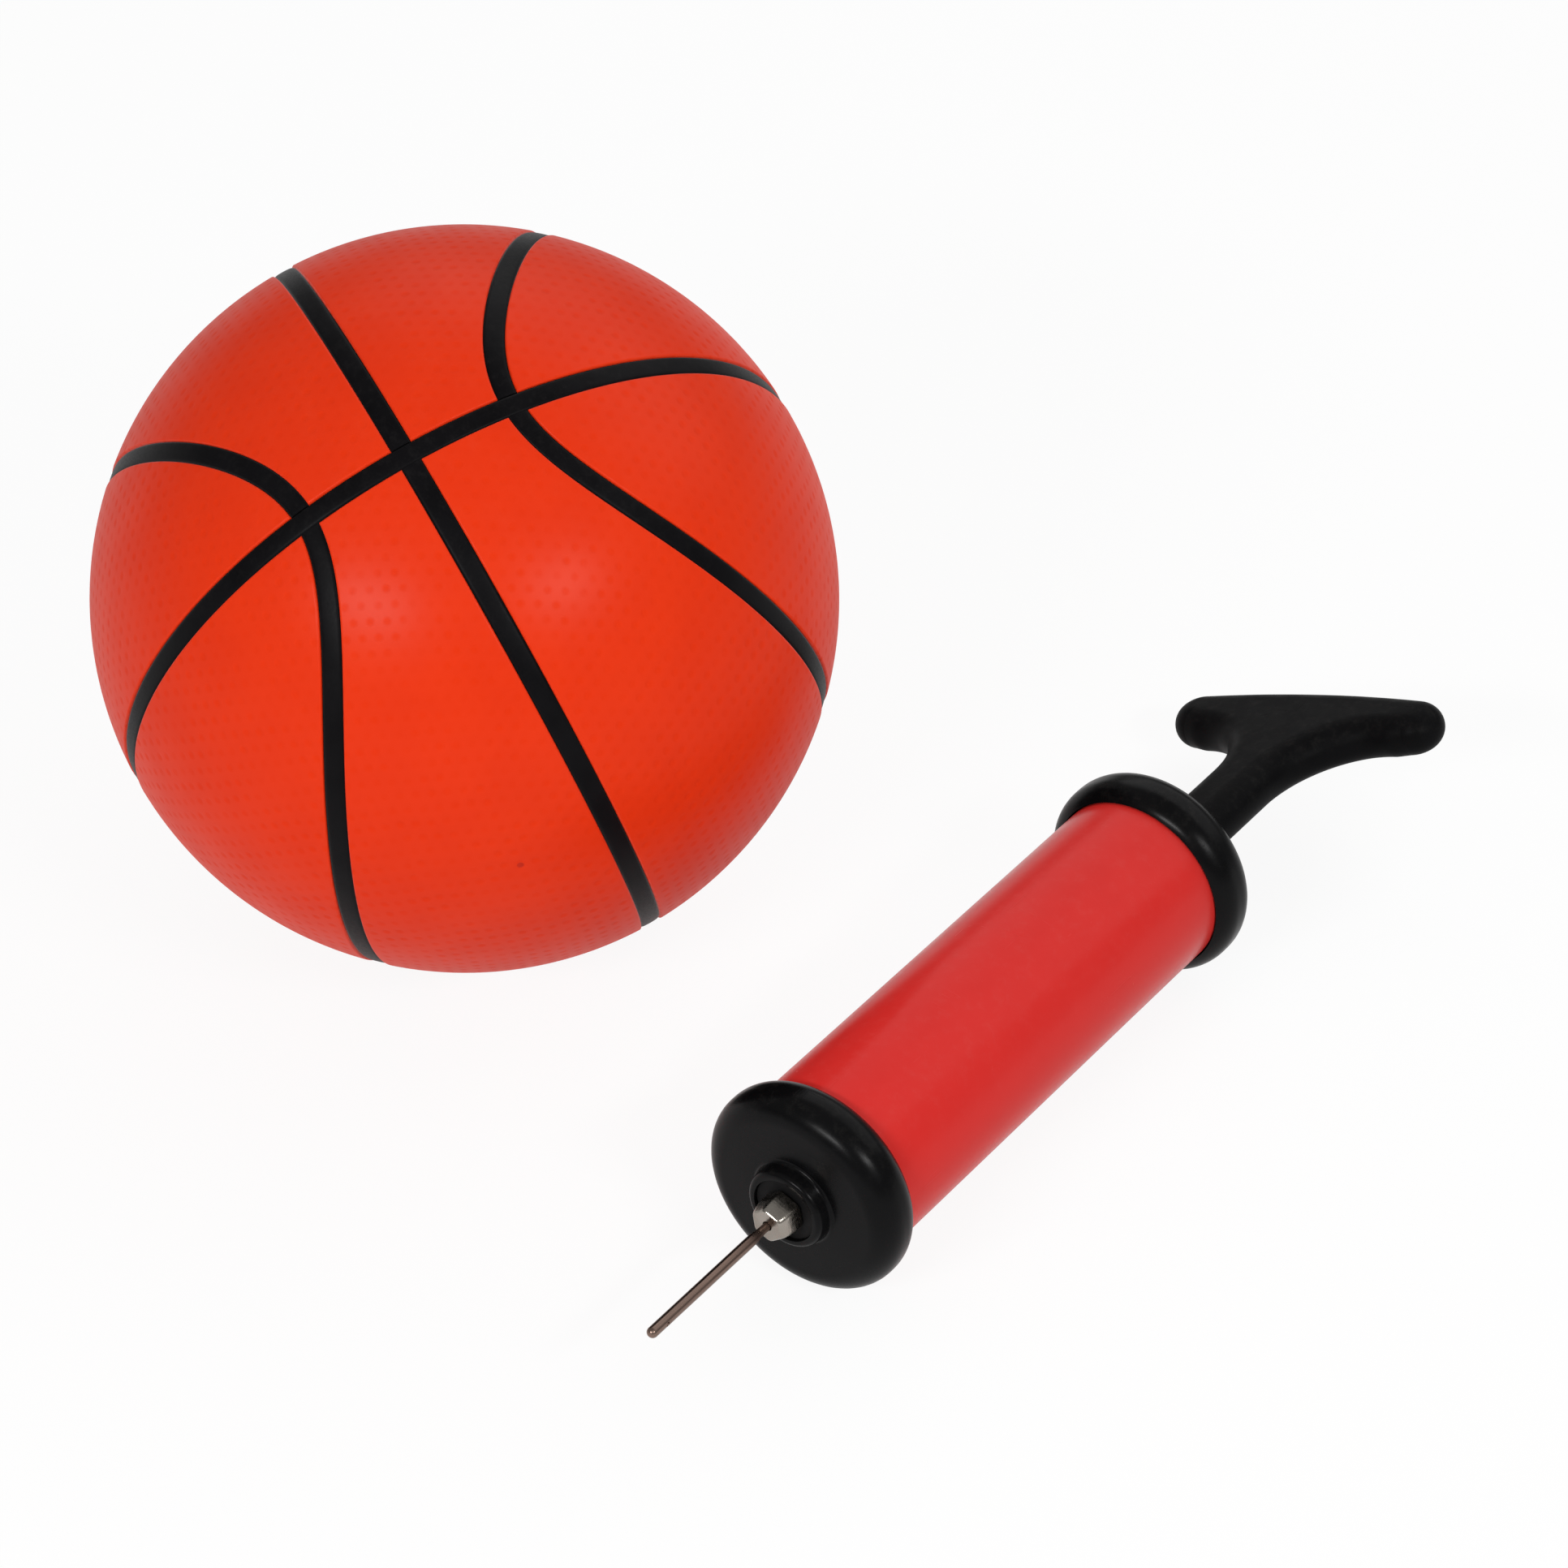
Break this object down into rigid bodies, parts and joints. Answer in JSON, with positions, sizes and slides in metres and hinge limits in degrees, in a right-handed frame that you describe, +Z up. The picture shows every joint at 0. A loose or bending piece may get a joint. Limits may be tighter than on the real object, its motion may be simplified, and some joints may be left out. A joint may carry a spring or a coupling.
{
  "type": "mini basketball and hand pump set",
  "caption": "Mini rubber basketball with black seam strips beside a T-handle hand pump, whose barrel has rounded end caps, a piston, a check valve and a screw-in ball needle.",
  "frame": {"origin": "on the floor, under the middle of the set's bounding box", "axes": "+Y along the pump from its needle to its handle, +X from the ball to the pump, +Z up"},
  "size_m": [0.2069, 0.2114, 0.1336],
  "materials": {
    "red_plastic": "satin-gloss moulded plastic",
    "black_plastic": "gloss moulded plastic",
    "satin_black": "satin moulded plastic",
    "seal_rubber": "matt rubber",
    "seam_rubber": "matt rubber",
    "orange_rubber": "pebbled semi-matt rubber",
    "brass": "turned",
    "nickel": "nickel plated",
    "steel": "drawn tube"
  },
  "bodies": {
    "pump_body": {"barrel": "red_plastic", "front_cap": "black_plastic", "front_seal_ring": "seal_rubber", "rear_cap": "black_plastic", "nozzle_insert": "brass"},
    "piston_seal": {"piston_ring": "seal_rubber"},
    "plunger": {"plunger_rod": "black_plastic", "handle": "satin_black"},
    "check_valve": {"valve_disc": "seal_rubber"},
    "needle_seal": {"needle_washer": "seal_rubber"},
    "needle": {"needle_collar": "nickel", "needle_tube": "steel"},
    "basketball": {"cover_panel_1": "orange_rubber", "cover_panel_2": "orange_rubber", "cover_panel_3": "orange_rubber", "cover_panel_4": "orange_rubber", "cover_panel_5": "orange_rubber", "cover_panel_6": "orange_rubber", "cover_panel_7": "orange_rubber", "cover_panel_8": "orange_rubber", "seam_ring": "seam_rubber", "seam_half_1": "seam_rubber", "seam_half_2": "seam_rubber", "seam_loop_1": "seam_rubber", "seam_loop_2": "seam_rubber", "seam_loop_3": "seam_rubber", "seam_loop_4": "seam_rubber", "bladder": "seal_rubber", "ball_valve": "seal_rubber"}
  },
  "joints": [
    {"name": "plunger_slide", "type": "slide", "parent": "pump_body", "child": "piston_seal", "axis": [0, 1, 0], "range_m": [0, 0.0864]},
    {"name": "handle_turn", "type": "hinge", "parent": "piston_seal", "child": "plunger", "pos_m": [0.07522, 0.0487, 0.01977], "axis": [0, 1, 0], "continuous": true},
    {"name": "valve_lift", "type": "slide", "parent": "pump_body", "child": "check_valve", "axis": [0, -1, 0], "range_m": [0, 0.001]},
    {"name": "needle_travel", "type": "slide", "parent": "pump_body", "child": "needle_seal", "axis": [0, -1, 0], "range_m": [0, 0.00714]},
    {"name": "needle_turn", "type": "hinge", "parent": "needle_seal", "child": "needle", "pos_m": [0.07522, -0.069, 0.01977], "axis": [0, -1, 0], "range_deg": [0, 3240]},
    {"name": "ball_lift", "type": "slide", "parent": "pump_body", "child": "basketball", "axis": [0, 0, 1], "range_m": [0, 0.2]}
  ],
  "couplings": [
    {"joint": "needle_turn", "follows": "needle_travel", "rad_per_m": 7913.3}
  ]
}
